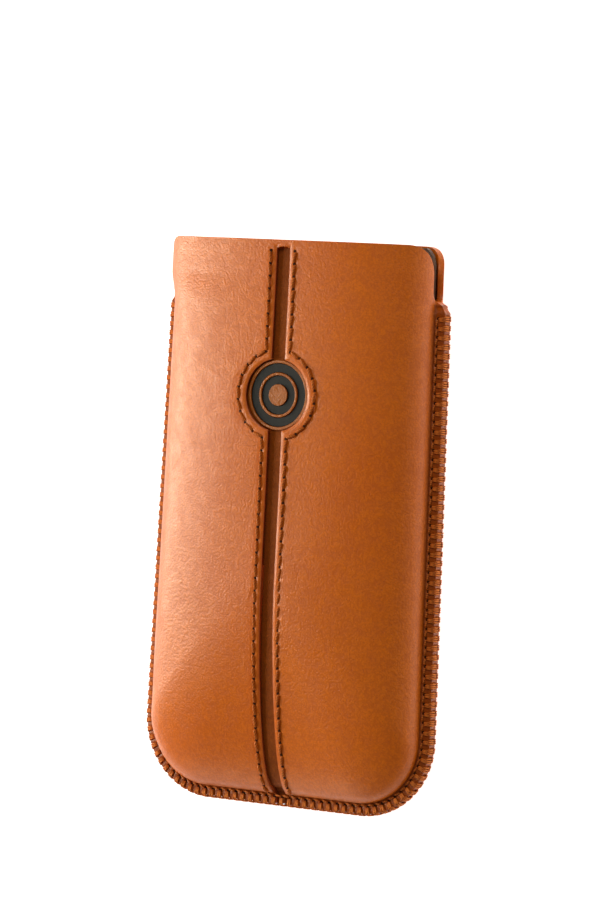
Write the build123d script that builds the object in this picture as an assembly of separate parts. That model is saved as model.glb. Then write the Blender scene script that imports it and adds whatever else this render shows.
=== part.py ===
"""Leather sleeve for a flat pocket device: two moulded panels sewn together round three sides.

Frame: the sleeve lies on its back. +X is to the right seen from the front, +Y points out of the
mouth, +Z out of the front panel. The origin is the middle of the box that holds the sleeve, on the
plane the back rests on. Millimetres.
"""
from build123d import *
import math
import os

# ---- overall shape ----
TOP_Y = 58.6            # mouth edge
BOTTOM_Y = -58.1        # leather edge of the bottom seam
EAR_Y = 45.9            # the side seams start here, below the mouth
HALF_W_TOP = 33.2       # half width over the seam at the ears
HALF_W_LOW = 34.75      # half width over the seam above the lower corners
CORNER_R = 16.0         # lower corners of the outline
FLANGE = 2.3            # flat sewn margin outside the bulge
TAB_CORNER_R = 5.0      # upper corners of both panels
EAR_FILLET_R = 2.8      # hollow curve from the tab down to the seam margin
EAR_TIP_R = 1.2

# ---- heights ----
SEAM_Z = 5.6            # plane where the two panels meet
CROWN = 11.0            # front panel above the seam plane
TOE_LENGTH = 47.5       # length over which the front panel slopes down to the bottom seam
BACK_TOE_LENGTH = 15.0
FRONT_POWER = 2.7       # squareness of the front cross-section
BACK_FLAT = 21.0        # half width of the flat on which the sleeve rests

# ---- sheet thicknesses ----
LEATHER = 1.3
MARGIN_LEATHER = 1.1    # leather pared down where it is sewn
STRIP = 0.7             # leather behind the slot
LINING = 0.8

# ---- keyhole slot and its inlay ----
SLOT_HALF = 1.6
SLOT_TOP_Y = TOP_Y - 1.4
WINDOW_R = 7.4
WINDOW_Y = 26.8
STRIP_HALF = 5.4
STRIP_DISC_R = 11.4
DISC_R, DISC_T = 7.1, 0.35
RING_T = 0.25
OUTER_RING = (4.75, 6.55)
INNER_RING = (2.2, 3.85)

# ---- sewing ----
ROW_OFFSET = 1.3        # slot stitches from the edge of the slot
ROW_PITCH = 2.6
STITCH_LENGTH = 2.0
THREAD_D = 0.55
ROW_SLANT = 12.0
EDGE_PITCH = 1.9
EDGE_THREAD = 0.48
WRAP_WIDTH = 0.95
SEAM_DASH = 1.15
AIR = 0.02              # thread to leather, so that solids don't overlap
REACH = 80.0            # longer than any part of the sleeve
PAST_MOUTH = TOP_Y + 5  # the bulge solids are cut off at the mouth afterwards


def near(face, x, y):
    """The vertex of a face closest to a point, on the right or its mirror twin on the left."""
    return face.vertices().sort_by(lambda v: (v.X - x) ** 2 + (v.Y - y) ** 2)[0]


def rounded(points, radii):
    """A polygon that is symmetric in X, given by its right half, with each listed corner rounded."""
    left = [(-x, y) for x, y in reversed(points)]
    face = make_face(Polyline(*points, *left, close=True))
    for (x, y), radius in zip(points, radii):
        if radius:
            face = fillet([near(face, x, y), near(face, -x, y)], radius)
    return face


def panel_outline():
    """Outline of one panel: round lower corners, straight sides, ears, and the tab at the mouth."""
    tab_x = HALF_W_TOP - FLANGE - 0.3
    points = [(HALF_W_LOW, BOTTOM_Y), (HALF_W_TOP, EAR_Y), (tab_x, EAR_Y + 1.2), (tab_x, TOP_Y)]
    return rounded(points, [CORNER_R, EAR_TIP_R, EAR_FILLET_R, TAB_CORNER_R])


def seam_half_width(y):
    """Half width over the seam at a height along the sleeve; the sides taper a little upwards."""
    return HALF_W_LOW + (HALF_W_TOP - HALF_W_LOW) * (y - BOTTOM_Y) / (EAR_Y - BOTTOM_Y)


def foot_outline(inset):
    """Foot of the bulge: the outline less the sewn margin, running straight out past the mouth."""
    off = FLANGE + inset
    points = [(HALF_W_LOW - off, BOTTOM_Y + off), (seam_half_width(PAST_MOUTH) - off, PAST_MOUTH)]
    return rounded(points, [CORNER_R - off, 0])


def tapered(section, inset):
    """Solid that runs along the sleeve between one cross-section below it and one past the mouth."""
    ends = [BOTTOM_Y - 1, PAST_MOUTH]
    faces = [Plane((0, y, 0), x_dir=(1, 0, 0), z_dir=(0, -1, 0)) *
             section(seam_half_width(y) - FLANGE - inset) for y in ends]
    return loft(faces, ruled=True)


def front_bulge(inset):
    """Solid under the front panel: outline, side profile and cross-section, all drawn in by inset."""
    base = extrude(foot_outline(inset), CROWN + 4)
    height = CROWN - inset
    toe_y = BOTTOM_Y + FLANGE + inset
    toe_end = toe_y + TOE_LENGTH
    side = make_face([
        Line((toe_y, 0), (PAST_MOUTH, 0)),
        Line((PAST_MOUTH, 0), (PAST_MOUTH, height)),
        Line((PAST_MOUTH, height), (toe_end, height)),
        EllipticalCenterArc((toe_end, 0), TOE_LENGTH, height, 90),
    ])
    side_solid = extrude(Plane.YZ * side, REACH, both=True)

    def arch(wide):
        steps = [math.cos(math.pi * i / 16) for i in range(15, 0, -1)]
        points = [(wide * c, height * arch_height(c)) for c in steps]
        curve = Spline((-wide, 0), *points, (wide, 0), tangents=[(0, 1), (0, -1)])
        return make_face([curve, Line((wide, 0), (-wide, 0))])

    return Pos(0, 0, SEAM_Z) * (tapered(arch, inset) & base & side_solid)


def arch_height(u):
    """Height of the front cross-section, 0 to 1, at a share u of its half width."""
    return (1 - abs(u) ** FRONT_POWER) ** (1 / FRONT_POWER)


def front_height(x, y):
    """Height of the front panel's outer face above the seam plane."""
    toe = min(1.0, max(0.0, (BOTTOM_Y + FLANGE + TOE_LENGTH - y) / TOE_LENGTH))
    along = CROWN * math.sqrt(1 - toe * toe)
    return min(along, CROWN * arch_height(x / (seam_half_width(y) - FLANGE)))


def back_bulge(inset):
    """Solid behind the seam plane: a shallow tray with a flat floor."""
    depth = SEAM_Z - inset
    base = extrude(foot_outline(inset), -SEAM_Z)
    toe_y = BOTTOM_Y + FLANGE + inset
    side = make_face([
        Line((toe_y, 0), (PAST_MOUTH, 0)),
        Line((PAST_MOUTH, 0), (PAST_MOUTH, -depth)),
        Line((PAST_MOUTH, -depth), (toe_y + BACK_TOE_LENGTH, -depth)),
        EllipticalCenterArc((toe_y + BACK_TOE_LENGTH, 0), BACK_TOE_LENGTH, depth, 180),
    ])
    side_solid = extrude(Plane.YZ * side, REACH, both=True)

    def tray(wide):
        run = wide - BACK_FLAT
        return make_face([
            EllipticalCenterArc((-BACK_FLAT, 0), run, depth, 180),
            Line((-BACK_FLAT, -depth), (BACK_FLAT, -depth)),
            EllipticalCenterArc((BACK_FLAT, 0), run, depth, 270),
            Line((wide, 0), (-wide, 0)),
        ])

    return Pos(0, 0, SEAM_Z) * (base & side_solid & tapered(tray, inset))


def keyhole(half, radius, top_y):
    """Upright prism of the slot with its round window, open past the bottom edge."""
    middle = (top_y + BOTTOM_Y - 3) / 2
    slot = Pos(0, middle) * Rectangle(2 * half, top_y - BOTTOM_Y + 3)
    return extrude(slot + Pos(0, WINDOW_Y) * Circle(radius), REACH)


def trim():
    """Everything inside the panel outline, at any height."""
    return extrude(panel_outline(), REACH, both=True)


def front_panel():
    """Moulded front leather with its sewn margin, cut through by the keyhole slot."""
    margin = Pos(0, 0, SEAM_Z) * extrude(panel_outline(), MARGIN_LEATHER)
    sheet = (margin + (front_bulge(0) & trim())) - front_bulge(LEATHER)
    return sheet - keyhole(SLOT_HALF, WINDOW_R, SLOT_TOP_Y)


def back_panel():
    """Back leather with its sewn margin."""
    margin = Pos(0, 0, SEAM_Z) * extrude(panel_outline(), -MARGIN_LEATHER)
    return (margin + (back_bulge(0) & trim())) - back_bulge(LEATHER)


def channel_strip():
    """Darker leather behind the slot, wide enough to take both stitch rows."""
    sheet = (front_bulge(LEATHER) - front_bulge(LEATHER + STRIP)) & trim()
    return sheet & keyhole(STRIP_HALF, STRIP_DISC_R, TOP_Y)


def front_lining():
    """Soft lining behind the front panel, carried inwards over the channel strip."""
    sheet = front_bulge(LEATHER) - front_bulge(LEATHER + LINING)
    pad = front_bulge(LEATHER + STRIP) - front_bulge(LEATHER + STRIP + LINING)
    strip_zone = keyhole(STRIP_HALF, STRIP_DISC_R, TOP_Y)
    pad_zone = keyhole(STRIP_HALF + LINING, STRIP_DISC_R + LINING, TOP_Y)
    return ((sheet - strip_zone) + (pad & pad_zone)) & trim()


def back_lining():
    """Soft lining on the back panel."""
    return (back_bulge(LEATHER) - back_bulge(LEATHER + LINING)) & trim()


def window_floor_z():
    """Height of the strip's face in the middle of the round window."""
    return SEAM_Z + CROWN - LEATHER


def ring(inner_r, outer_r, z_low, thickness):
    """A flat ring in the window."""
    return Pos(0, WINDOW_Y, z_low) * extrude(Circle(outer_r) - Circle(inner_r), thickness)


def emblem_disc():
    """Leather disc at the bottom of the window, with two grooves for the rings."""
    base = window_floor_z()
    disc = Pos(0, WINDOW_Y, base) * extrude(Circle(DISC_R), DISC_T)
    for inner_r, outer_r in (OUTER_RING, INNER_RING):
        disc -= ring(inner_r, outer_r, base + DISC_T - RING_T, RING_T)
    return disc


def emblem_ring(radii):
    """Dark inlay that fills one groove of the disc."""
    return ring(*radii, window_floor_z() + DISC_T - RING_T, RING_T)


def row_places(side):
    """Middle and heading of each slot stitch, down one side and round the window."""
    x = SLOT_HALF + ROW_OFFSET
    arc_r = WINDOW_R + ROW_OFFSET + 0.6
    meet = math.sqrt(arc_r * arc_r - x * x)
    upper = Line((side * x, TOP_Y - 2.6), (side * x, WINDOW_Y + meet))
    arc = ThreePointArc((side * x, WINDOW_Y + meet), (side * arc_r, WINDOW_Y), (side * x, WINDOW_Y - meet))
    lower = Line((side * x, WINDOW_Y - meet), (side * x, BOTTOM_Y + FLANGE + 1.2))
    for run in (upper, arc, lower):
        count = round(run.length / ROW_PITCH)
        for i in range(count):
            share = (i + 0.5) / count
            yield run.position_at(share), run.tangent_at(share)


def slot_thread(side):
    """One row of slanted lock stitches lying on the front panel."""
    stitches = []
    lean = math.radians(ROW_SLANT) * side
    for place, along in row_places(side):
        dx = along.X * math.cos(lean) - along.Y * math.sin(lean)
        dy = along.X * math.sin(lean) + along.Y * math.cos(lean)
        h = STITCH_LENGTH / 2
        ends = [(place.X + s * h * dx, place.Y + s * h * dy) for s in (-1, 1)]
        a, b = [Vector(px, py, SEAM_Z + front_height(px, py)) for px, py in ends]
        level = math.hypot(b.X - a.X, b.Y - a.Y) / (b - a).length
        between = [a + (b - a) * (i / 6) for i in range(7)]
        hump = max(SEAM_Z + front_height(v.X, v.Y) - v.Z for v in between)
        centre = (a + b) * 0.5 + Vector(0, 0, hump + (THREAD_D / 2 + 2 * AIR) / level)
        stitches.append(Plane(centre, z_dir=b - a) * Cylinder(THREAD_D / 2, (b - a).length))
    return Compound(children=stitches)


def seam_line(off):
    """Path along the sewn margin from the right ear round the bottom to the left ear."""
    start_y = EAR_Y - 2.2
    corners = [(seam_half_width(start_y) - off, start_y), (HALF_W_LOW - off, BOTTOM_Y + off)]
    corners += [(-x, y) for x, y in reversed(corners)]
    return FilletPolyline(*corners, radius=CORNER_R - off)


def seam_places():
    """Places along the leather edge, one for each wrap of the edge stitch."""
    path = seam_line(0)
    count = round(path.length / EDGE_PITCH)
    for i in range(count + 1):
        share = i / count
        yield path.position_at(share), path.tangent_at(share)


def edge_thread():
    """Blanket stitch: a thread wrap over the leather edge at every hole of the seam."""
    z_in = MARGIN_LEATHER + AIR
    z_out = z_in + EDGE_THREAD
    leg = -(FLANGE - 1.3 * EDGE_THREAD)
    wrap = make_face(Polyline((leg, z_in), (AIR, z_in), (AIR, -z_in), (leg, -z_in), (leg, -z_out),
                              (EDGE_THREAD, -z_out), (EDGE_THREAD, z_out), (leg, z_out), close=True))
    wraps = []
    for place, along in seam_places():
        outward = Vector(-along.Y, along.X, 0)
        plane = Plane(Vector(place.X, place.Y, SEAM_Z), x_dir=outward, z_dir=outward.cross(Vector(0, 0, 1)))
        wraps.append(extrude(plane * wrap, WRAP_WIDTH / 2, both=True))
    return Compound(children=wraps)


def seam_thread(face_side):
    """Running stitches along the foot of the bulge, between the wraps, on one face of the margin."""
    path = seam_line(FLANGE - EDGE_THREAD / 2 - 3 * AIR)
    count = round(seam_line(0).length / EDGE_PITCH)
    z = SEAM_Z + face_side * (MARGIN_LEATHER + AIR + EDGE_THREAD / 2)
    dashes = []
    for i in range(count):
        share = (i + 0.5) / count
        place, along = path.position_at(share), path.tangent_at(share)
        dash = Cylinder(EDGE_THREAD / 2, SEAM_DASH)
        dashes.append(Plane(Vector(place.X, place.Y, z), z_dir=along) * dash)
    return Compound(children=dashes)


NODES = {
    "front_panel": front_panel,
    "back_panel": back_panel,
    "channel_strip": channel_strip,
    "front_lining": front_lining,
    "back_lining": back_lining,
    "emblem_disc": emblem_disc,
    "emblem_outer_ring": lambda: emblem_ring(OUTER_RING),
    "emblem_inner_ring": lambda: emblem_ring(INNER_RING),
    "slot_thread_left": lambda: slot_thread(-1),
    "slot_thread_right": lambda: slot_thread(1),
    "seam_thread_front": lambda: seam_thread(1),
    "seam_thread_back": lambda: seam_thread(-1),
    "edge_thread": edge_thread,
}

os.makedirs("parts", exist_ok=True)
for node, make in NODES.items():
    export_step(make(), f"parts/{node}.step")
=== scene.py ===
"""Looks of the leather sleeve: moulded panels, keyhole slot, stitches, lining, inlay, light and camera."""
import math

import bpy
import numpy as np
from mathutils import Matrix, Vector


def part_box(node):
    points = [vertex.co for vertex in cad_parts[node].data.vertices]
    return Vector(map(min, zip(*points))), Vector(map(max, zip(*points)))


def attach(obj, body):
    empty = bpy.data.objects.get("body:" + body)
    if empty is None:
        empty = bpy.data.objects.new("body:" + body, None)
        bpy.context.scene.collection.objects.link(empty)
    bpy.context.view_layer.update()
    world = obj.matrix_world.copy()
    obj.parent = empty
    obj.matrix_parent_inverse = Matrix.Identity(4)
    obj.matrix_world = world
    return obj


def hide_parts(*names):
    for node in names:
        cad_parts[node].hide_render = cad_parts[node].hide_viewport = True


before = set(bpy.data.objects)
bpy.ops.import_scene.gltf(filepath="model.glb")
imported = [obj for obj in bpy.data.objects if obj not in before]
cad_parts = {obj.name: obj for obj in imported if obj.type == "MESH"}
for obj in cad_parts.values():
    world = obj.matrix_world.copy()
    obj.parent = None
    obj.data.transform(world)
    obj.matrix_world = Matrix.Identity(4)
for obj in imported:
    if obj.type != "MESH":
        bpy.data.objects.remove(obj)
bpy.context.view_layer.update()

MM = 0.001
BODY = "root"


def box_mm(node):
    """Lowest and highest corner of a CAD node in millimetres."""
    low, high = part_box(node)
    return np.array(low) / MM, np.array(high) / MM


# ---- sizes in millimetres, taken from the frame where it has them ----
FRONT_LOW, FRONT_HIGH = box_mm("front_panel")
RING_LOW, RING_HIGH = box_mm("emblem_outer_ring")
TOP_Y, BOTTOM_Y = FRONT_HIGH[1], FRONT_LOW[1]
SEAM_Z = FRONT_LOW[2]
CROWN = FRONT_HIGH[2] - SEAM_Z
WINDOW_Y = (RING_LOW[1] + RING_HIGH[1]) / 2

HALF_W_LOW, HALF_W_TOP = 34.75, 33.2
EAR_Y = TOP_Y - 12.7
CORNER_R = 16.0
FLANGE = 2.3
MARGIN = 1.1            # thickness of one panel in the sewn margin
LEATHER = 1.2
LINING = 0.7
SLOT_HALF = 1.6
SLOT_TOP = TOP_Y - 1.4
SLOT_END = 0.55         # rounding of the slot's upper end
WINDOW_R = 7.4
TOE = 47.5              # length over which the front slopes down to the bottom seam
BACK_TOE = 15.0
FOOT_R = 0.35           # hollow where the bulge meets the margin
TAB_R = 6.2             # upper corners of the tab, measured along the leather
TAB_LIFT = 0.55         # edge of the tab above the foot of the bulge
FLARE = 1.7             # the left side of the mouth stands this much wider than the right
PITCH = 1.9             # aim for the spacing of the edge wraps
ROW_X = SLOT_HALF + 1.3
ROW_R = WINDOW_R + 1.9
ROW_PITCH = 2.6
FRONT_FAN_Y = -4.0      # rows are level above this height and fan out below it
BACK_FAN_Y = -26.0
BACK_TOE_END = BOTTOM_Y + FLANGE + BACK_TOE
FAN_STEP = 0.34         # spacing of the rays along the seam
NEAR_SLOT = 3.6         # stretch beside the slot that has the closest grid columns
FULL_RUN = 36.0         # length of a row from slot to foot that the column spread is drawn for
PINCH_DEPTH = 0.16      # how far a wrap presses into each face of the margin
PINCH_IN = 0.26         # how far it draws the edge in
EDGE_SWELL = 0.1        # how far the edge stands out between two wraps
HOLE_LINE = 1.5         # needle holes of the seam, in from the leather edge
STITCH_LINE = 1.62      # outer ends of the slanted running stitches, in from the leather edge

MARGIN_RUN = FLANGE - FOOT_R + FOOT_R * math.pi / 2     # along the leather, from the foot to its edge

LEAN = math.atan((HALF_W_LOW - HALF_W_TOP) / (EAR_Y - BOTTOM_Y))


# ---- outline ----
def side_x(y):
    """Half width over the seam at height y: a straight line that leans in towards the mouth."""
    return HALF_W_LOW - (y - BOTTOM_Y) * math.tan(LEAN)


CORNER_Y = BOTTOM_Y + CORNER_R
CORNER_X = side_x(CORNER_Y) - CORNER_R / math.cos(LEAN)
SIDE_END_Y = CORNER_Y + CORNER_R * math.sin(LEAN)
SIDE_LENGTH = (EAR_Y - SIDE_END_Y) / math.cos(LEAN)
ARC_LENGTH = CORNER_R * (math.pi / 2 + LEAN)
HALF_SEAM = SIDE_LENGTH + ARC_LENGTH + CORNER_X
WRAPS = 2 * round(HALF_SEAM / PITCH)
STEP = 2 * HALF_SEAM / WRAPS


def seam_path(s):
    """Right half of the leather edge: point and outward normal at a length s from the ear downwards.

    Straight side, then an arc about the corner centre, then the straight bottom edge to the middle.
    """
    s = np.asarray(s, float)
    turn = np.clip((s - SIDE_LENGTH) / CORNER_R, 0, math.pi / 2 + LEAN)
    angle = LEAN - turn
    normal = np.stack([np.cos(angle), np.sin(angle)], -1)
    along = np.minimum(s, SIDE_LENGTH)
    side = np.stack([side_x(EAR_Y) + along * math.sin(LEAN), EAR_Y - along * math.cos(LEAN)], -1)
    arc = np.array([CORNER_X, CORNER_Y]) + CORNER_R * normal
    bottom = np.stack([CORNER_X - (s - SIDE_LENGTH - ARC_LENGTH), np.full_like(s, BOTTOM_Y)], -1)
    point = np.where((s < SIDE_LENGTH)[..., None], side, arc)
    point = np.where((s > SIDE_LENGTH + ARC_LENGTH)[..., None], bottom, point)
    return point, normal


def cut_length(y):
    """Where a row of the panel ends, measured from the foot of the bulge along the leather.

    Negative on the tab, rounded at its upper corner, then out over an S-shaped ear to the full margin.
    """
    t = np.linspace(0, 1, 60)
    ends = np.array([[-TAB_LIFT, 3.6], [-TAB_LIFT, 0.5], [MARGIN_RUN, 1.9], [MARGIN_RUN, -1.6]])
    basis = np.stack([(1 - t) ** 3, 3 * t * (1 - t) ** 2, 3 * t * t * (1 - t), t ** 3], -1)
    curve = basis @ ends
    out = np.interp(EAR_Y - y, -curve[:, 1], curve[:, 0])
    into = np.clip(y - (TOP_Y - TAB_R), 0, TAB_R)
    return out - (TAB_R - np.sqrt(np.maximum(TAB_R ** 2 - into ** 2, 0)))


# ---- rows of the panel grids ----
def spaced(start, stop, step):
    """Values from start to before stop, evenly spaced at about the step."""
    return np.linspace(start, stop, max(2, round(abs(stop - start) / step)), endpoint=False)


def panel_rows(fan_y, toe_y, inner_x, slot):
    """Rays of one half of a panel, from its middle line (start) to the foot of the bulge (foot).

    Level rows from the mouth down to fan_y, then a fan whose starts creep down to toe_y while the
    feet go round the corner to the middle of the bottom seam.
    """
    mouth = TOP_Y - np.array([0, 0.03, 0.1, 0.22, 0.4, 0.6, 0.85, 1.12])
    end_turn = np.linspace(0, math.pi / 2, 7, endpoint=False)
    slot_end = SLOT_TOP - SLOT_END * (1 - np.cos(end_turn))
    meet = math.sqrt(WINDOW_R ** 2 - SLOT_HALF ** 2)
    marks = [SLOT_TOP - SLOT_END, EAR_Y + 4, EAR_Y - 2, WINDOW_Y + meet + 0.3, WINDOW_Y + meet - 1.0,
             WINDOW_Y - meet + 1.0, WINDOW_Y - meet - 0.3, fan_y]
    steps = [0.38, 0.16, 0.38, 0.1, 0.34, 0.1, 0.38]
    rows = [spaced(a, b, d) for a, b, d in zip(marks, marks[1:], steps)]
    level = np.concatenate([mouth, slot_end, *rows])
    start_s = (EAR_Y - fan_y) / math.cos(LEAN)
    fan_s = np.linspace(start_s, HALF_SEAM - inner_x, round((HALF_SEAM - start_s) / FAN_STEP))
    share = (fan_s - start_s) / (fan_s[-1] - start_s)
    point, normal = seam_path(fan_s)
    level_s = (EAR_Y - level) / math.cos(LEAN)
    level_foot = np.stack([side_x(level) - FLANGE / math.cos(LEAN), level], -1)
    foot = np.concatenate([level_foot, point - FLANGE * normal])
    ease = share * (2 - share)
    start_y = np.concatenate([level, fan_y + (toe_y - fan_y) * ease])
    start = np.stack([np.full_like(start_y, inner_x), start_y], -1)
    rows = {
        "start": start,
        "foot": foot,
        "normal": np.concatenate([np.tile([math.cos(LEAN), math.sin(LEAN)], (len(level), 1)), normal]),
        "cut": np.concatenate([cut_length(level), np.full(len(fan_s), MARGIN_RUN)]),
        "seam_s": np.concatenate([level_s, fan_s]),
        "fan": np.concatenate([np.zeros(len(level)), share]),
    }
    rows["edge_x"] = slot_edge(start_y) if slot else np.zeros(len(start_y))
    rows["edge_x"][len(level):] = inner_x
    return rows


def slot_edge(y):
    """Half width of the keyhole opening at height y: zero above it, rounded end, slot, round window."""
    into = np.clip((SLOT_TOP - y) / SLOT_END, 0, 1)
    slot = SLOT_HALF * np.sqrt(np.clip(1 - (1 - into) ** 2, 0, 1))
    window = np.sqrt(np.maximum(WINDOW_R ** 2 - (y - WINDOW_Y) ** 2, 0))
    return np.maximum(slot, window)


# ---- profile of one row ----
def front_profile(length, height, fan, soft):
    """Bulge of the front: a superellipse from level at the middle to upright at the foot, then a small
    hollow and the level margin. It turns from square-shouldered at the sides to round at the toe."""
    power = 2.5 - 0.5 * fan ** 1.5 - 0.4 * soft
    theta = np.linspace(0, math.pi / 2, 140)
    reach = np.sin(theta) ** (2 / power)
    rise = np.cos(theta) ** (2 / power)
    return length * reach, FOOT_R + (height - FOOT_R) * rise


def back_profile(length, height, fan, soft):
    """Tray of the back: flat for two thirds of the way, then an elliptical turn up to the foot."""
    flat = 0.66 * (1 - 0.15 * fan)
    theta = np.linspace(0, math.pi / 2, 100)
    reach = flat + (1 - flat) * np.sin(theta)
    rise = np.cos(theta)
    reach = np.concatenate([np.linspace(0, flat, 40, endpoint=False), reach])
    rise = np.concatenate([np.ones(40), rise])
    return length * reach, FOOT_R + (height - FOOT_R) * rise


def column_shares(fine, count, margin):
    """Places of the grid columns as shares of a row: close by the slot and over the foot."""
    near = np.linspace(0, NEAR_SLOT, fine, endpoint=False)
    far = NEAR_SLOT + np.linspace(0, 1, count) ** 0.92 * (FULL_RUN - NEAR_SLOT)
    edge = FULL_RUN + np.concatenate([np.linspace(0.12, 0.7, 5), np.linspace(0.9, margin, 6)])
    return np.concatenate([near, far, edge]) / (FULL_RUN + margin)


def half_grid(rows, profile, height, inset, shares, margin=True, left=False):
    """One half of a panel as an array of points (row, column, xyz) above the seam plane.

    Each row's profile is cut at its own length and sampled at the same shares of that length.
    The left half is softer and a little wider at the tab. It is made on +X and mirrored last.
    """
    out = []
    for i in range(len(rows["start"])):
        ramp = min(1, max(0, (rows["start"][i][1] - EAR_Y + 1) / 7)) if left else 0
        soft = ramp * ramp * (3 - 2 * ramp)
        start, foot = rows["start"][i], rows["foot"][i] + (FLARE * soft - inset) * rows["normal"][i]
        ray = foot - start
        length = math.hypot(*ray)
        reach, rise = profile(length, height - inset, rows["fan"][i], soft)
        if margin:
            turn = np.linspace(0, math.pi / 2, 14)[1:]
            reach = np.concatenate([reach, length + FOOT_R * (1 - np.cos(turn)), [length + FLANGE]])
            rise = np.concatenate([rise, FOOT_R * (1 - np.sin(turn)), [0.0]])
        run = np.concatenate([[0], np.cumsum(np.hypot(np.diff(reach), np.diff(rise)))])
        foot_run = run[-1] - (MARGIN_RUN if margin else 0)
        last = foot_run + (rows["cut"][i] if margin else min(0, rows["cut"][i] - 0.2))
        first = rows["edge_x"][i] - start[0]
        at = first * np.maximum(0, 1 - shares / 0.55) + shares * last
        r = np.where(at < 0, at, np.interp(at, run, reach))
        z = np.interp(at, run, rise)
        inside = np.minimum(r, length)[:, None] * (ray / length)
        beyond = np.maximum(r - length, 0)[:, None] * rows["normal"][i]
        out.append(np.concatenate([start + inside + beyond, z[:, None]], -1))
    return np.array(out)


def both_halves(rows, profile, height, inset, shares, margin=True):
    """Right half and left half of a panel, both on +X, in one array (half, row, column, xyz)."""
    return np.stack([half_grid(rows, profile, height, inset, shares, margin, left) for left in (False, True)])


# ---- mesh helpers ----
def grid_faces(rows, columns, flip=False):
    """Quads of a grid of points, row by row."""
    v, u = np.meshgrid(np.arange(rows - 1), np.arange(columns - 1), indexing="ij")
    a = v * columns + u
    quads = np.stack([a, a + columns, a + columns + 1, a + 1], -1).reshape(-1, 4)
    return quads[:, ::-1] if flip else quads


def make_piece(name, points, faces, node=None, slot=None, material=None, attributes=None, weld=0.0):
    """A mesh object at the origin from points in millimetres; it rides on the sleeve's body."""
    mesh = bpy.data.meshes.new(name)
    faces = faces if isinstance(faces, list) else faces.tolist()
    mesh.from_pydata((np.asarray(points) * MM).tolist(), [], faces)
    for key, values in (attributes or {}).items():
        layer = mesh.attributes.new(key, "FLOAT", "POINT")
        layer.data.foreach_set("value", np.asarray(values, np.float32).ravel())
    mesh.shade_smooth()
    piece = bpy.data.objects.new(name, mesh)
    bpy.context.scene.collection.objects.link(piece)
    if weld:
        joined = piece.modifiers.new("weld", "WELD")
        joined.merge_threshold = weld * MM
    if material:
        mesh.materials.append(material)
    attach(piece, BODY)
    if node:
        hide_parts(node)
    return piece


def thicken(piece, thickness, rim=0.25, segments=3):
    """Gives a sheet its thickness behind its outer face and rounds its cut edges."""
    solid = piece.modifiers.new("thickness", "SOLIDIFY")
    solid.thickness = thickness * MM
    solid.offset = -1
    bevel = piece.modifiers.new("cut edge", "BEVEL")
    bevel.width = rim * MM
    bevel.segments = segments
    bevel.limit_method = "ANGLE"
    bevel.angle_limit = math.radians(55)
    bevel.harden_normals = False


def ring_quads(levels, turns):
    """Quads of a closed section of so many levels, carried round in so many turns."""
    i, k = np.meshgrid(np.arange(levels), np.arange(turns), indexing="ij")
    j, m = (i + 1) % levels, (k + 1) % turns
    corners = [i * turns + k, i * turns + m, j * turns + m, j * turns + k]
    return np.stack(corners, -1).reshape(-1, 4)


def repeated(quads, count, stride):
    """The same quads for each of several equal shapes, whose points follow one another."""
    return (quads[None] + (np.arange(count) * stride)[:, None, None]).reshape(-1, 4)


def unfold(halves, flip):
    """Points and quads of two half grids, the second one mirrored across the middle line."""
    _, rows, columns, _ = halves.shape
    points = np.concatenate([halves[0].reshape(-1, 3), halves[1].reshape(-1, 3) * np.array([-1, 1, 1])])
    mirrored = grid_faces(rows, columns, not flip) + rows * columns
    return points, np.concatenate([grid_faces(rows, columns, flip), mirrored])


def wobble(x, y, scale, seed):
    """Smooth irregular value between about -1 and 1: three crossing sine waves of different lengths."""
    phase = seed * 1.7
    a = np.sin(x / scale * 2.1 + y / scale * 1.3 + phase)
    b = np.sin(x / scale * -1.1 + y / scale * 2.3 + phase * 2.3)
    c = np.sin(x / scale * 3.4 - y / scale * 1.9 + phase * 3.1)
    return (a + b + 0.6 * c) / 2.6


# ---- materials ----
def node_group(name, inputs, outputs):
    """An empty shader node group with named sockets; returns it with its input and output nodes."""
    group = bpy.data.node_groups.new(name, "ShaderNodeTree")
    for label, kind, default in inputs:
        socket = group.interface.new_socket(name=label, in_out="INPUT", socket_type=kind)
        if default is not None:
            socket.default_value = default
    for label, kind in outputs:
        group.interface.new_socket(name=label, in_out="OUTPUT", socket_type=kind)
    return group, group.nodes.new("NodeGroupInput"), group.nodes.new("NodeGroupOutput")


def math_node(tree, operation, a, b=None, c=None, clamp=False):
    """A math node whose inputs are sockets or numbers; returns its output."""
    node = tree.nodes.new("ShaderNodeMath")
    node.operation = operation
    node.use_clamp = clamp
    for socket, value in zip(node.inputs, (a, b, c)):
        if value is None:
            continue
        if isinstance(value, (int, float)):
            socket.default_value = value
        else:
            tree.links.new(value, socket)
    return node.outputs[0]


def mix_colour(tree, factor, a, b, blend="MIX"):
    """A colour mix node; returns its result."""
    node = tree.nodes.new("ShaderNodeMix")
    node.data_type = "RGBA"
    node.blend_type = blend
    for socket, value in ((node.inputs[0], factor), (node.inputs[6], a), (node.inputs[7], b)):
        if isinstance(value, (int, float, tuple)):
            socket.default_value = value
        else:
            tree.links.new(value, socket)
    return node.outputs[2]


def texture(tree, kind, scale, coordinates, **values):
    """A procedural texture node on the given coordinates."""
    node = tree.nodes.new(kind)
    node.inputs["Scale"].default_value = scale
    for key, value in values.items():
        node.inputs[key].default_value = value
    tree.links.new(coordinates, node.inputs["Vector"])
    return node


def stretch(tree, value, low, high, to_low=0.0, to_high=1.0):
    """A clamped smooth map range; returns its result."""
    node = tree.nodes.new("ShaderNodeMapRange")
    node.interpolation_type = "SMOOTHSTEP"
    node.inputs["From Min"].default_value = low
    node.inputs["From Max"].default_value = high
    node.inputs["To Min"].default_value = to_low
    node.inputs["To Max"].default_value = to_high
    tree.links.new(value, node.inputs["Value"])
    return node.outputs["Result"]


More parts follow.
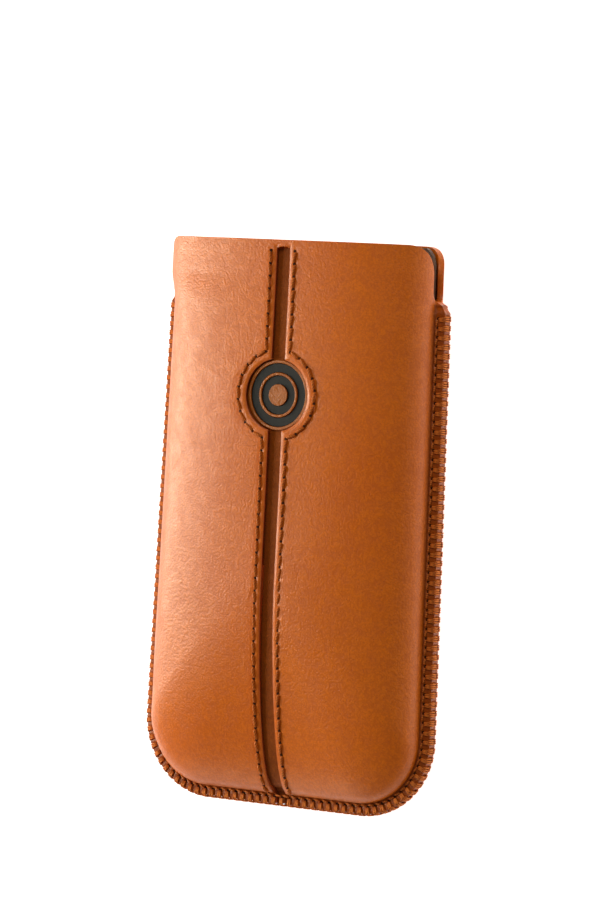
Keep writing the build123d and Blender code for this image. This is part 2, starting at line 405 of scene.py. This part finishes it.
def leather_grain_group():
    """Fine pebbled grain with open pores and soft clouds of dye: a height, a pore mask and two clouds."""
    group, inp, out = node_group(
        "leather grain", [("Vector", "NodeSocketVector", None), ("Pebble", "NodeSocketFloat", 2300.0)],
        [("Height", "NodeSocketFloat"), ("Pores", "NodeSocketFloat"), ("Cloud", "NodeSocketFloat"),
         ("Mottle", "NodeSocketFloat")])
    vector = inp.outputs["Vector"]
    pebble = texture(group, "ShaderNodeTexVoronoi", 2300.0, vector, Randomness=0.9)
    pebble.feature = "SMOOTH_F1"
    pebble.inputs["Smoothness"].default_value = 0.6
    group.links.new(inp.outputs["Pebble"], pebble.inputs["Scale"])
    crease = texture(group, "ShaderNodeTexNoise", 1300.0, vector, Detail=5.0, Roughness=0.62)
    pores = texture(group, "ShaderNodeTexVoronoi", 1150.0, vector, Randomness=1.0)
    pore = stretch(group, pores.outputs["Distance"], 0.08, 0.2, 1.0, 0.0)
    cloud = texture(group, "ShaderNodeTexNoise", 42.0, vector, Detail=3.0, Roughness=0.55)
    mottle = texture(group, "ShaderNodeTexNoise", 420.0, vector, Detail=4.0, Roughness=0.6)
    low = math_node(group, "MULTIPLY", pebble.outputs["Distance"], -0.55)
    high = math_node(group, "MULTIPLY_ADD", crease.outputs["Fac"], 0.8, low)
    height = math_node(group, "MULTIPLY_ADD", pore, -0.25, high)
    for label, value in (("Height", height), ("Pores", pore), ("Cloud", cloud.outputs["Fac"]),
                         ("Mottle", mottle.outputs["Fac"])):
        group.links.new(value, out.inputs[label])
    return group


GRAIN = leather_grain_group()


def new_material(name):
    """A material with its shader, its tree and Object coordinates."""
    material = bpy.data.materials.new(name)
    material.use_nodes = True
    tree = material.node_tree
    shader = tree.nodes["Principled BSDF"]
    coordinates = tree.nodes.new("ShaderNodeTexCoord").outputs["Object"]
    return material, tree, shader, coordinates


def bump(tree, height, strength, distance, shader, below=None):
    """A bump node in millimetres of distance, chained on another, into the shader's normal."""
    node = tree.nodes.new("ShaderNodeBump")
    node.inputs["Strength"].default_value = strength
    node.inputs["Distance"].default_value = distance * MM
    tree.links.new(height, node.inputs["Height"])
    if below is not None:
        tree.links.new(below, node.inputs["Normal"])
    tree.links.new(node.outputs["Normal"], shader.inputs["Normal"])
    return node.outputs["Normal"]


def attribute(tree, name):
    """A named vertex value."""
    node = tree.nodes.new("ShaderNodeAttribute")
    node.attribute_name = name
    return node.outputs["Fac"]


def leather(name, light, mid, dark, roughness=0.37, shine=0.4, grain=0.42, crease_shade_and_edge_paint=True):
    """Smooth dyed leather: three tones mixed by clouds, grain bump, painted shade in the creases and edge
    paint on the cut edges.
    """
    material, tree, shader, coordinates = new_material(name)
    grain_node = tree.nodes.new("ShaderNodeGroup")
    grain_node.node_tree = GRAIN
    tree.links.new(coordinates, grain_node.inputs["Vector"])
    cloud = stretch(tree, grain_node.outputs["Cloud"], 0.34, 0.66)
    mottle = stretch(tree, grain_node.outputs["Mottle"], 0.3, 0.72)
    tone = mix_colour(tree, math_node(tree, "MULTIPLY", cloud, 0.45), mid, light)
    tone = mix_colour(tree, math_node(tree, "MULTIPLY", mottle, 0.22), tone, dark)
    tone = mix_colour(tree, math_node(tree, "MULTIPLY", grain_node.outputs["Pores"], 0.3), tone, dark)
    valley = stretch(tree, grain_node.outputs["Height"], 0.0, 0.32, 0.34, 0.0)
    tone = mix_colour(tree, valley, tone, dark)
    if crease_shade_and_edge_paint:
        # crease carries painted shade (hollows, grooves, sewn margin); rim carries the reddish edge paint of
        # the cut edges.
        crease = attribute(tree, "crease")
        rim = attribute(tree, "rim")
        shade = math_node(tree, "MULTIPLY", crease, 0.8, clamp=True)
        tone = mix_colour(tree, shade, tone, (0.16, 0.03, 0.006, 1))
        shade = math_node(tree, "MULTIPLY", rim, 0.75, clamp=True)
        tone = mix_colour(tree, shade, tone, (0.42, 0.085, 0.022, 1))
    tree.links.new(tone, shader.inputs["Base Color"])
    rough = stretch(tree, grain_node.outputs["Mottle"], 0.25, 0.75, roughness - 0.05, roughness + 0.08)
    tree.links.new(rough, shader.inputs["Roughness"])
    shader.inputs["Specular IOR Level"].default_value = shine
    bump(tree, grain_node.outputs["Height"], grain, 0.2, shader)
    return material


def suede(name, base, dark):
    """Napped lining: short fibres as stretched noise, with soft brushed patches."""
    material, tree, shader, coordinates = new_material(name)
    nap = texture(tree, "ShaderNodeTexNoise", 2600.0, coordinates, Detail=6.0, Roughness=0.7)
    patch = texture(tree, "ShaderNodeTexNoise", 130.0, coordinates, Detail=3.0, Distortion=1.2)
    tone = mix_colour(tree, stretch(tree, nap.outputs["Fac"], 0.3, 0.7), dark, base)
    tone = mix_colour(tree, math_node(tree, "MULTIPLY", patch.outputs["Fac"], 0.5), tone, dark)
    tree.links.new(tone, shader.inputs["Base Color"])
    shader.inputs["Roughness"].default_value = 0.95
    shader.inputs["Sheen Weight"].default_value = 0.5
    bump(tree, nap.outputs["Fac"], 0.6, 0.25, shader)
    return material


def thread(name, base, dark):
    """Twisted waxed thread: slanted ply lines from the piece's own along and around values."""
    material, tree, shader, coordinates = new_material(name)
    along = attribute(tree, "along")
    around = attribute(tree, "around")
    twist = math_node(tree, "MULTIPLY_ADD", along, 2.2, around)
    ply = math_node(tree, "SINE", math_node(tree, "MULTIPLY", twist, 2 * math.pi * 2))
    ply = math_node(tree, "MULTIPLY_ADD", ply, 0.5, 0.5)
    fuzz = texture(tree, "ShaderNodeTexNoise", 5200.0, coordinates, Detail=4.0)
    tone = mix_colour(tree, stretch(tree, ply, 0.1, 0.75, 0.35, 1.0), dark, base)
    tone = mix_colour(tree, math_node(tree, "MULTIPLY", fuzz.outputs["Fac"], 0.3), tone, dark)
    tree.links.new(tone, shader.inputs["Base Color"])
    shader.inputs["Roughness"].default_value = 0.55
    shader.inputs["Specular IOR Level"].default_value = 0.2
    bump(tree, ply, 0.6, 0.06, shader)
    return material


def dark_inlay():
    """Charcoal inlay with a faint matt grain."""
    material, tree, shader, coordinates = new_material("charcoal inlay")
    fine = texture(tree, "ShaderNodeTexNoise", 3000.0, coordinates, Detail=5.0)
    tone = mix_colour(tree, fine.outputs["Fac"], (0.006, 0.006, 0.007, 1), (0.022, 0.023, 0.025, 1))
    tree.links.new(tone, shader.inputs["Base Color"])
    shader.inputs["Roughness"].default_value = 0.6
    shader.inputs["Specular IOR Level"].default_value = 0.3
    bump(tree, fine.outputs["Fac"], 0.35, 0.05, shader)
    return material


TAN = leather("tan leather", (0.80, 0.195, 0.010, 1), (0.72, 0.152, 0.004, 1), (0.42, 0.066, 0.002, 1))
# Leather of the strip behind the slot; its darker brown is painted shade inside the narrow slot.
SHADED_SLOT_LEATHER = leather("slot leather with painted shade", (0.42, 0.095, 0.005, 1), (0.31, 0.065, 0.003, 1),
                        (0.12, 0.022, 0.001, 1), roughness=0.6, shine=0.15)
EMBLEM_LEATHER = leather("emblem leather", (0.56, 0.16, 0.012, 1), (0.44, 0.105, 0.006, 1),
                         (0.2, 0.04, 0.003, 1), grain=0.5, crease_shade_and_edge_paint=False)
SUEDE = suede("brown suede", (0.2, 0.095, 0.045, 1), (0.075, 0.032, 0.015, 1))
ROW_THREAD = thread("tan thread", (0.66, 0.165, 0.018, 1), (0.3, 0.06, 0.005, 1))
EDGE_THREAD = thread("rust thread", (0.86, 0.24, 0.035, 1), (0.22, 0.03, 0.004, 1))
INLAY = dark_inlay()
HOLE = leather("hole shadow", (0.07, 0.018, 0.004, 1), (0.05, 0.012, 0.003, 1), (0.02, 0.005, 0.002, 1),
               roughness=0.8, shine=0.1, crease_shade_and_edge_paint=False)


# ---- front panel ----
MARGIN_Z = SEAM_Z + MARGIN
TOE_END = BOTTOM_Y + FLANGE + TOE


def seam_wave(s):
    """1 at each wrap of the edge stitch and 0 midway between two, along the seam length s."""
    wave = 0.5 + 0.5 * np.cos(2 * math.pi * s / STEP)
    return np.where(s < -0.5, 0.0, wave)


def pinch_margin(half, rows):
    """Draws the sewn margin in at each wrap, in place, and returns painted shade for the hollow at the foot
    of the bulge and the sewn margin beside it.
    """
    s = rows["seam_s"][:, None]
    normal = rows["normal"][:, None, :]
    z = half[..., 2]
    margin = np.clip(1 - z / 0.5, 0, 1) * (s > -1.0)
    pinch = seam_wave(s) * margin
    z -= PINCH_DEPTH * pinch
    last_column = np.linspace(0, 1, half.shape[2])[None, :] ** 40
    half[..., :2] += ((EDGE_SWELL - PINCH_IN * pinch) * margin * last_column)[..., None] * normal
    # Painted shade: strongest in the hollow at the foot of the bulge, also over the margin, fading out a
    # little way up the bulge.
    return 0.9 * np.exp(-((z - 0.15) / 0.35) ** 2) * np.clip(1 - z / 1.2, 0, 1) * (s > -1)


def front_panel():
    """The moulded front: both halves meet above the slot and leave the keyhole open below it."""
    rows = panel_rows(FRONT_FAN_Y, TOE_END, SLOT_HALF, True)
    shares = column_shares(11, 22, MARGIN_RUN)
    half = both_halves(rows, front_profile, CROWN - MARGIN, 0.0, shares)
    x, y, z = half[..., 0], half[..., 1], half[..., 2]
    foot = pinch_margin(half, rows)
    gap = slot_gap(x, y)
    z -= 0.22 * np.exp(-(gap / 0.35) ** 2) * (z > 2)
    row = row_gap(x, y)
    z -= 0.1 * np.exp(-(row / 0.45) ** 2) * (y < TOP_Y - 1.5) * (z > 2)
    rim = np.exp(-(gap / 0.18) ** 2) * (y < SLOT_TOP + 0.3)
    # Painted shade along the groove of the stitch row beside the slot and round the window, joined with the
    # painted shade at the foot of the bulge.
    crease = np.clip(np.exp(-(row / 0.22) ** 2) * 0.45 * (y < TOP_Y - 2), 0, 1)
    crease = np.maximum(crease, foot)
    points, quads = unfold(half, False)
    uneven = wobble(points[:, 0], points[:, 1], 17.0, 1) * np.clip(points[:, 2] / 8, 0, 1)
    points[:, 2] += MARGIN_Z + 0.16 * uneven
    values = {"rim": rim, "crease": crease}
    piece = make_piece("front_leather", points, quads, "front_panel", "tan_leather", TAN, values, weld=0.004)
    thicken(piece, LEATHER, rim=0.28)
    return piece


def slot_gap(x, y):
    """Distance in plan from the edge of the keyhole opening, for points outside it."""
    to_slot = np.abs(x) - SLOT_HALF
    to_window = np.hypot(x, y - WINDOW_Y) - WINDOW_R
    gap = np.minimum(np.abs(to_slot), np.abs(to_window))
    return np.where(y > SLOT_TOP, np.hypot(np.maximum(np.abs(x) - SLOT_HALF, 0), y - SLOT_TOP), gap)


def row_gap(x, y):
    """Distance in plan from the stitch row beside the slot and round the window."""
    on_arc = np.abs(y - WINDOW_Y) < math.sqrt(ROW_R ** 2 - ROW_X ** 2)
    return np.where(on_arc, np.hypot(x, y - WINDOW_Y) - ROW_R, np.abs(x) - ROW_X)


def back_panel():
    """The back: a shallow tray, flat where it rests, with the same outline and ears."""
    rows = panel_rows(BACK_FAN_Y, BACK_TOE_END, 0.0, False)
    shares = column_shares(4, 20, MARGIN_RUN)
    half = both_halves(rows, back_profile, SEAM_Z - MARGIN, 0.0, shares)
    foot = pinch_margin(half, rows)
    points, quads = unfold(half, True)
    points[:, 2] = SEAM_Z - MARGIN - points[:, 2]
    # The crease value is painted shade at the foot of the tray and over its sewn margin.
    values = {"rim": np.zeros(len(points)), "crease": foot}
    piece = make_piece("back_leather", points, quads, "back_panel", "tan_leather", TAN, values, weld=0.004)
    thicken(piece, LEATHER, rim=0.28)
    return piece


def linings():
    """Soft lining sheets inside both panels, ending a little below the mouth edge."""
    inset = LEATHER + 0.04
    shares = np.linspace(0, 1, 34)
    for front in (True, False):
        fan_y, toe_y = (FRONT_FAN_Y, TOE_END) if front else (BACK_FAN_Y, BACK_TOE_END)
        rows = panel_rows(fan_y, toe_y, 0.0, False)
        kept = np.flatnonzero(rows["start"][:, 1] < TOP_Y - 0.35)[::2]
        rows = {key: value[kept] for key, value in rows.items()}
        height = CROWN if front else SEAM_Z
        profile = front_profile if front else back_profile
        half = both_halves(rows, profile, height, inset, shares, margin=False)
        if front:
            near = np.clip((13.0 - np.abs(half[..., 0])) / 3.0, 0, 1)
            half[..., 2] -= 0.72 * near * near * (3 - 2 * near)
        points, quads = unfold(half, not front)
        sign = 1 if front else -1
        points[:, 2] = SEAM_Z + sign * points[:, 2]
        points[:, 0] = np.where(np.abs(points[:, 0]) < 1e-6, 0.0, points[:, 0])
        name = "front_lining_sheet" if front else "back_lining_sheet"
        piece = make_piece(name, points, quads, "front_lining" if front else "back_lining",
                           "suede_lining", SUEDE, weld=0.004)
        thicken(piece, LINING, rim=0.15, segments=2)


# ---- centre line of the front ----
def centre_profile(y):
    """Height of the front's middle line over the floor, at a place y along the sleeve."""
    fall = np.clip((TOE_END - y) / TOE, 0, 1)
    return MARGIN_Z + FOOT_R + (CROWN - MARGIN - FOOT_R) * np.sqrt(np.maximum(1 - fall ** 2, 0))


def channel_strip():
    """Leather behind the slot, coloured darker than the front as painted shade inside the slot: a strip that
    widens to a disc behind the window.
    """
    fall = np.linspace(0, math.pi / 2, 60)
    toe_y = TOE_END - (TOE - LEATHER) * np.sin(fall)
    toe_z = MARGIN_Z + FOOT_R + (CROWN - MARGIN - FOOT_R - LEATHER - 0.05) * np.cos(fall)
    foot_y = np.array([BOTTOM_Y + FLANGE - 0.2, BOTTOM_Y + 1.4, BOTTOM_Y + 0.15])
    foot_z = np.array([SEAM_Z + 0.42, SEAM_Z + 0.4, SEAM_Z + 0.4])
    level_y = spaced(TOP_Y - 0.4, TOE_END, 0.5)
    level_z = np.full(len(level_y), SEAM_Z + CROWN - LEATHER - 0.05)
    y = np.concatenate([level_y, toe_y, foot_y])
    z = np.concatenate([level_z, toe_z, foot_z])
    across = np.linspace(-1, 1, 27)
    strip_half, disc_r = 3.9, 8.6
    half = np.maximum(strip_half, np.sqrt(np.maximum(disc_r ** 2 - (y - WINDOW_Y) ** 2, 0)))
    x = half[:, None] * across
    points = np.stack([x, np.broadcast_to(y[:, None], x.shape), z[:, None] - 0.06 * (x / disc_r) ** 2], -1)
    # Painted shade on the strip under the front panel and near the slot edges; the open middle of the slot
    # stays lighter.
    gap = np.clip(1 - (SLOT_HALF - np.abs(x)) / 0.5, 0, 1) * (half[:, None] < 4)
    values = {"rim": np.zeros(x.size), "crease": (0.55 * gap).ravel()}
    piece = make_piece("slot_strip", points.reshape(-1, 3), grid_faces(len(y), len(across)), "channel_strip",
                       "brown_leather", SHADED_SLOT_LEATHER, values)
    thicken(piece, 0.6, rim=0.1, segments=1)


# ---- emblem ----
def lathe(sections, turns=96):
    """Points and quads of closed rings about the middle of the window, from sections of (radius, height)."""
    angle = np.linspace(0, 2 * math.pi, turns, endpoint=False)
    points, quads, offset = [], [], 0
    for section in sections:
        radius, height = np.array(section, float).T
        around = [radius[:, None] * np.cos(angle), WINDOW_Y + radius[:, None] * np.sin(angle),
                  np.repeat(height[:, None], turns, 1)]
        points.append(np.stack(around, -1).reshape(-1, 3))
        quads.append(ring_quads(len(section), turns) + offset)
        offset += len(section) * turns
    return np.concatenate(points), np.concatenate(quads)


def ring_section(inner, outer, base, top, soft):
    """Cross-section of a ring: flat bottom, upright walls and rounded upper corners."""
    turn = np.linspace(0, math.pi / 2, 4)
    left = [(inner + soft * (1 - math.sin(t)), top - soft * (1 - math.cos(t))) for t in turn]
    right = [(outer - soft * (1 - math.sin(t)), top - soft * (1 - math.cos(t))) for t in turn[::-1]]
    flat = [(outer - soft - 0.06, top), (inner + soft + 0.06, top)]
    return [(inner, base), (outer, base), *right, *flat, *left]


def emblem():
    """A plain round badge: leather lands in rings with two charcoal rings sunk between them."""
    base = SEAM_Z + CROWN - LEATHER - 0.07
    land_top, inlay_top = base + 0.52, base + 0.2
    middle = ring_section(0.02, 2.2, base, land_top, 0.015)
    rings = [ring_section(inner, outer, base, land_top, 0.12) for inner, outer in ((4.05, 4.6), (6.55, 7.2))]
    make_piece("badge_lands", *lathe([middle, *rings]), "emblem_disc", "brown_leather", EMBLEM_LEATHER)
    for name, node, inner, outer in (("badge_outer_inlay", "emblem_outer_ring", 4.6, 6.55),
                                     ("badge_inner_inlay", "emblem_inner_ring", 2.2, 4.05)):
        section = ring_section(inner, outer, base - 0.02, inlay_top, 0.15)
        make_piece(name, *lathe([section]), node, "dark_inlay", INLAY)


# ---- threads ----
def tube_set(name, paths, radius, sides, node, slot, material):
    """Closed tubes along many short paths (path, point, xyz), with tapered ends and ply values."""
    paths = np.asarray(paths, float)
    count, steps, _ = paths.shape
    along = np.gradient(paths, axis=1)
    along /= np.linalg.norm(along, axis=-1, keepdims=True)
    side = np.cross(along, np.array([0.0, 0.0, 1.0]) + 0.001)
    thin = np.linalg.norm(side, axis=-1, keepdims=True) < 0.15
    side = np.where(thin, np.cross(along, np.array([1.0, 0.3, 0.0])), side)
    side /= np.linalg.norm(side, axis=-1, keepdims=True)
    up = np.cross(side, along)
    angle = np.linspace(0, 2 * math.pi, sides, endpoint=False)
    taper = np.ones(steps)
    taper[[0, -1]] = 0.35
    circle = (side[:, :, None, :] * np.cos(angle)[:, None] + up[:, :, None, :] * np.sin(angle)[:, None])
    points = paths[:, :, None, :] + radius * taper[:, None, None] * circle
    v, u = np.meshgrid(np.arange(steps - 1), np.arange(sides), indexing="ij")
    w = (u + 1) % sides
    corners = [v * sides + u, v * sides + w, (v + 1) * sides + w, (v + 1) * sides + u]
    quads = repeated(np.stack(corners, -1).reshape(-1, 4), count, steps * sides)
    caps = []
    for start in np.arange(count) * steps * sides:
        caps.append(list(range(start, start + sides))[::-1])
        caps.append(list(range(start + (steps - 1) * sides, start + steps * sides)))
    run = np.broadcast_to(np.linspace(0, 1, steps)[None, :, None], points.shape[:3])
    turn = np.broadcast_to(np.arange(sides)[None, None, :] / sides, points.shape[:3])
    values = {"along": run, "around": turn}
    return make_piece(name, points.reshape(-1, 3), quads.tolist() + caps, node, slot, material, values)


def slot_row(side):
    """Holes of one stitch row: points (x, y) down the slot, round the window and on to the toe."""
    meet = math.sqrt(ROW_R ** 2 - ROW_X ** 2)
    upper = np.linspace(TOP_Y - 2.3, WINDOW_Y + meet, 1 + round((TOP_Y - 2.3 - WINDOW_Y - meet) / ROW_PITCH))
    spread = math.acos(meet / ROW_R)
    arc = np.linspace(spread, math.pi - spread, 1 + round(ROW_R * (math.pi - 2 * spread) / ROW_PITCH))
    low_level = np.linspace(WINDOW_Y - meet, TOE_END, 1 + round((WINDOW_Y - meet - TOE_END) / ROW_PITCH))
    fine = np.linspace(0, 0.97, 400)
    run_y = TOE_END - TOE * np.sin(fine * math.pi / 2)
    run_z = (CROWN - MARGIN) * np.cos(fine * math.pi / 2)
    run = np.concatenate([[0], np.cumsum(np.hypot(np.diff(run_y), np.diff(run_z)))])
    toe = np.interp(np.linspace(0, run[-1], 1 + round(run[-1] / ROW_PITCH)), run, run_y)
    y = np.concatenate([upper[:-1], WINDOW_Y + ROW_R * np.cos(arc[:-1]), low_level[:-1], toe])
    x = np.concatenate([np.full(len(upper) - 1, ROW_X), ROW_R * np.sin(arc[:-1]),
                        np.full(len(low_level) - 1 + len(toe), ROW_X)])
    return np.stack([side * x, y], -1)


def surface_frame(xy):
    """Point and outward normal of the front near its middle line."""
    y = xy[:, 1]
    z = centre_profile(y)
    slope = (centre_profile(y + 0.05) - centre_profile(y - 0.05)) / 0.1
    normal = np.stack([np.zeros_like(y), -slope, np.ones_like(y)], -1)
    normal /= np.linalg.norm(normal, axis=-1, keepdims=True)
    return np.concatenate([xy, z[:, None]], -1), normal


def slot_threads():
    """Lock stitches from hole to hole, each a low arch laid at a slant across the row."""
    share = np.linspace(0, 1, 8)
    arch = np.sin(math.pi * share) ** 0.6 * 0.4 - 0.22
    for side, name, node in ((-1, "slot_stitches_left", "slot_thread_left"),
                             (1, "slot_stitches_right", "slot_thread_right")):
        holes = slot_row(side)
        first, last = holes[:-1], holes[1:]
        heading = last - first
        across = np.stack([-heading[:, 1], heading[:, 0]], -1)
        across /= np.linalg.norm(across, axis=-1, keepdims=True)
        a = first + 0.05 * heading + 0.2 * side * across
        b = last - 0.05 * heading - 0.2 * side * across
        xy = a[:, None, :] + (b - a)[:, None, :] * share[None, :, None]
        base, normal = surface_frame(xy.reshape(-1, 2))
        points = base + normal * np.tile(arch, len(first))[:, None]
        tube_set(name, points.reshape(len(first), len(share), 3), 0.31, 7, node, "tan_thread", ROW_THREAD)
        base, normal = surface_frame(holes)
        hole_dots(name + "_holes", base, normal, np.gradient(base, axis=0), 0.33)


def hole_dots(name, base, normal, ahead, size):
    """Needle holes: small dark lens-shaped dots let into the leather between the stitches."""
    turns = 8
    angle = np.linspace(0, 2 * math.pi, turns, endpoint=False)
    ahead = ahead / np.linalg.norm(ahead, axis=-1, keepdims=True)
    side = np.cross(ahead, normal)
    rings = [(0.02, 0.05), (0.75 * size, 0.045), (size, 0.0), (0.75 * size, -0.2), (0.02, -0.2)]
    points = []
    for radius, lift in rings:
        oval = (ahead[:, None, :] * np.cos(angle)[:, None] * 1.1
                + side[:, None, :] * np.sin(angle)[:, None])
        points.append(base[:, None, :] + normal[:, None, :] * lift + radius * oval)
    points = np.stack(points, 1)
    count, levels = points.shape[:2]
    quads = repeated(ring_quads(levels, turns), count, levels * turns)
    make_piece(name, points.reshape(-1, 3), quads, None, "brown_leather", HOLE)


def seam_frames(s):
    """Point, outward normal and heading on the whole seam, for a length s from the right ear."""
    s = np.asarray(s, float)
    mirrored = s > HALF_SEAM
    point, normal = seam_path(np.where(mirrored, 2 * HALF_SEAM - s, s))
    flip = np.where(mirrored, -1.0, 1.0)
    point = point * np.stack([flip, np.ones_like(flip)], -1)
    normal = normal * np.stack([flip, np.ones_like(flip)], -1)
    heading = np.stack([normal[:, 1], -normal[:, 0]], -1)
    return point, normal, heading


def edge_wraps():
    """Thread wraps over the leather edge, each three strands side by side with a slight lean."""
    rng = np.random.default_rng(5)
    centres = np.arange(1, WRAPS) * STEP
    lean = 0.22
    out_z = MARGIN + 0.16
    turn = np.linspace(0, math.pi, 7)
    offset = np.concatenate([[-1.42, -1.25, -0.7], -0.1 + 0.42 * np.sin(turn), [-0.7, -1.25, -1.42]])
    upper = np.array([out_z - 0.45, out_z, out_z])
    height = np.concatenate([upper, out_z * np.cos(turn), -upper[::-1]])
    slide = np.linspace(lean, -lean, len(offset))
    paths = []
    for strand in (-0.42, 0.0, 0.42):
        fan = strand * (0.75 + 0.25 * np.cos(np.linspace(-math.pi, math.pi, len(offset))))
        shift = rng.uniform(-0.05, 0.05, len(centres))
        s = np.clip(centres[:, None] + fan[None] + slide[None] + shift[:, None], 0.0, 2 * HALF_SEAM)
        point, normal, _ = seam_frames(s.ravel())
        reach = np.tile(offset, len(centres))
        lift = np.tile(height, len(centres)) + np.repeat(rng.uniform(-0.03, 0.03, len(centres)), len(offset))
        xy = point + reach[:, None] * normal
        paths.append(np.concatenate([xy, (SEAM_Z + lift)[:, None]], -1).reshape(len(centres), len(offset), 3))
    tube_set("edge_wraps", np.concatenate(paths), 0.19, 6, "edge_thread", "rust_thread", EDGE_THREAD)


def seam_rows():
    """Slanted running stitches at the foot of the bulge, on the front and on the back face."""
    share = np.linspace(0, 1, 6)
    arch = np.sin(math.pi * share) ** 0.6 * 0.3 - 0.12
    starts = np.arange(1, WRAPS - 1) * STEP
    for face, name, node in ((1, "seam_stitches_front", "seam_thread_front"),
                             (-1, "seam_stitches_back", "seam_thread_back")):
        s = starts[:, None] + STEP * (0.08 + 0.84 * share[None])
        point, normal, _ = seam_frames(s.ravel())
        inward = np.tile(-STITCH_LINE - 0.3 * share, len(starts))
        xy = point + inward[:, None] * normal
        z = SEAM_Z + face * (MARGIN + np.tile(arch, len(starts)))
        paths = np.concatenate([xy, z[:, None]], -1).reshape(len(starts), len(share), 3)
        tube_set(name, paths, 0.2, 6, node, "rust_thread", EDGE_THREAD)
        point, normal, heading = seam_frames(np.arange(1, WRAPS) * STEP)
        level = np.full((len(point), 1), SEAM_Z + face * MARGIN)
        holes = np.concatenate([point - HOLE_LINE * normal, level], -1)
        upward = np.tile([0.0, 0.0, face], (len(point), 1))
        ahead = np.concatenate([heading, np.zeros((len(point), 1))], -1)
        hole_dots(name + "_holes", holes, upward, ahead, 0.36)


front_panel()
back_panel()
linings()
channel_strip()
emblem()
slot_threads()
edge_wraps()
seam_rows()


# ---- floor, light and camera ----
def floor():
    """Plain pale floor under the sleeve."""
    size, drop = 1.6, 0.0003
    corners = [(-size, -size, -drop), (size, -size, -drop), (size, size, -drop), (-size, size, -drop)]
    mesh = bpy.data.meshes.new("pale_floor")
    mesh.from_pydata(corners, [], [(0, 1, 2, 3)])
    piece = bpy.data.objects.new("pale_floor", mesh)
    bpy.context.scene.collection.objects.link(piece)
    material, _, shader, _ = new_material("pale floor")
    shader.inputs["Base Color"].default_value = (0.93, 0.93, 0.93, 1)
    shader.inputs["Emission Color"].default_value = (1, 1, 1, 1)
    shader.inputs["Emission Strength"].default_value = 0.95
    shader.inputs["Roughness"].default_value = 0.9
    shader.inputs["Specular IOR Level"].default_value = 0.1
    mesh.materials.append(material)


def softbox(name, direction, distance, width, height, power, colour=(1, 1, 1)):
    """Rectangular light that looks at the sleeve from a direction."""
    data = bpy.data.lights.new(name, "AREA")
    data.shape = "RECTANGLE"
    data.size, data.size_y = width, height
    data.energy = power
    data.color = colour
    light = bpy.data.objects.new(name, data)
    place = Vector(direction).normalized() * distance
    light.location = place
    light.rotation_euler = place.to_track_quat("Z", "Y").to_euler()
    bpy.context.scene.collection.objects.link(light)


def lights():
    """Faint white room light, a long softbox low on the left, one overhead, a low fill and a right card."""
    world = bpy.data.worlds.new("white room")
    world.use_nodes = True
    background = world.node_tree.nodes["Background"]
    background.inputs["Color"].default_value = (1, 1, 1, 1)
    background.inputs["Strength"].default_value = 0.08
    bpy.context.scene.world = world
    softbox("left_softbox", (-0.96, 0.02, 0.28), 0.5, 0.14, 0.66, 4.1, (1.0, 0.95, 0.76))
    softbox("top_softbox", (0.1, 0.6, 0.7), 0.8, 0.3, 0.3, 1.8, (1.0, 0.95, 0.84))
    softbox("low_softbox", (-0.5, -0.85, 0.35), 0.6, 0.3, 0.2, 0.55, (1.0, 0.93, 0.74))
    softbox("right_card", (0.92, 0.1, 0.25), 0.5, 0.14, 0.5, 0.3, (1.0, 0.93, 0.82))


def camera():
    """Long lens, turned to the sleeve's right and a little above it, with a slight roll."""
    yaw, pitch, roll = math.radians(32.0), math.radians(2.04), math.radians(2.77)
    distance, aside, up = 874.0, 0.18, 15.46
    view_mm = 186.21974     # long side of the view, measured at the seam
    right = np.array([math.cos(yaw), 0, -math.sin(yaw)])
    toward = np.array([math.sin(yaw), 0, math.cos(yaw)])
    upright = np.array([0, math.cos(pitch), 0]) - math.sin(pitch) * toward
    back = np.array([0, math.sin(pitch), 0]) + math.cos(pitch) * toward
    axis_x = math.cos(roll) * right + math.sin(roll) * upright
    axis_y = -math.sin(roll) * right + math.cos(roll) * upright
    place = np.array([0, 0, SEAM_Z]) + aside * axis_x + up * axis_y + distance * back
    data = bpy.data.cameras.new("camera")
    data.sensor_width = 36.0
    data.lens = distance / view_mm * data.sensor_width
    data.clip_start, data.clip_end = 0.01, 20.0
    seen = bpy.data.objects.new("camera", data)
    columns = [*zip(axis_x, axis_y, back, place * MM)]
    seen.matrix_world = Matrix([[*row] for row in columns] + [[0, 0, 0, 1]])
    bpy.context.scene.collection.objects.link(seen)
    bpy.context.scene.camera = seen


floor()
lights()
camera()
bpy.context.scene.view_settings.view_transform = "Standard"
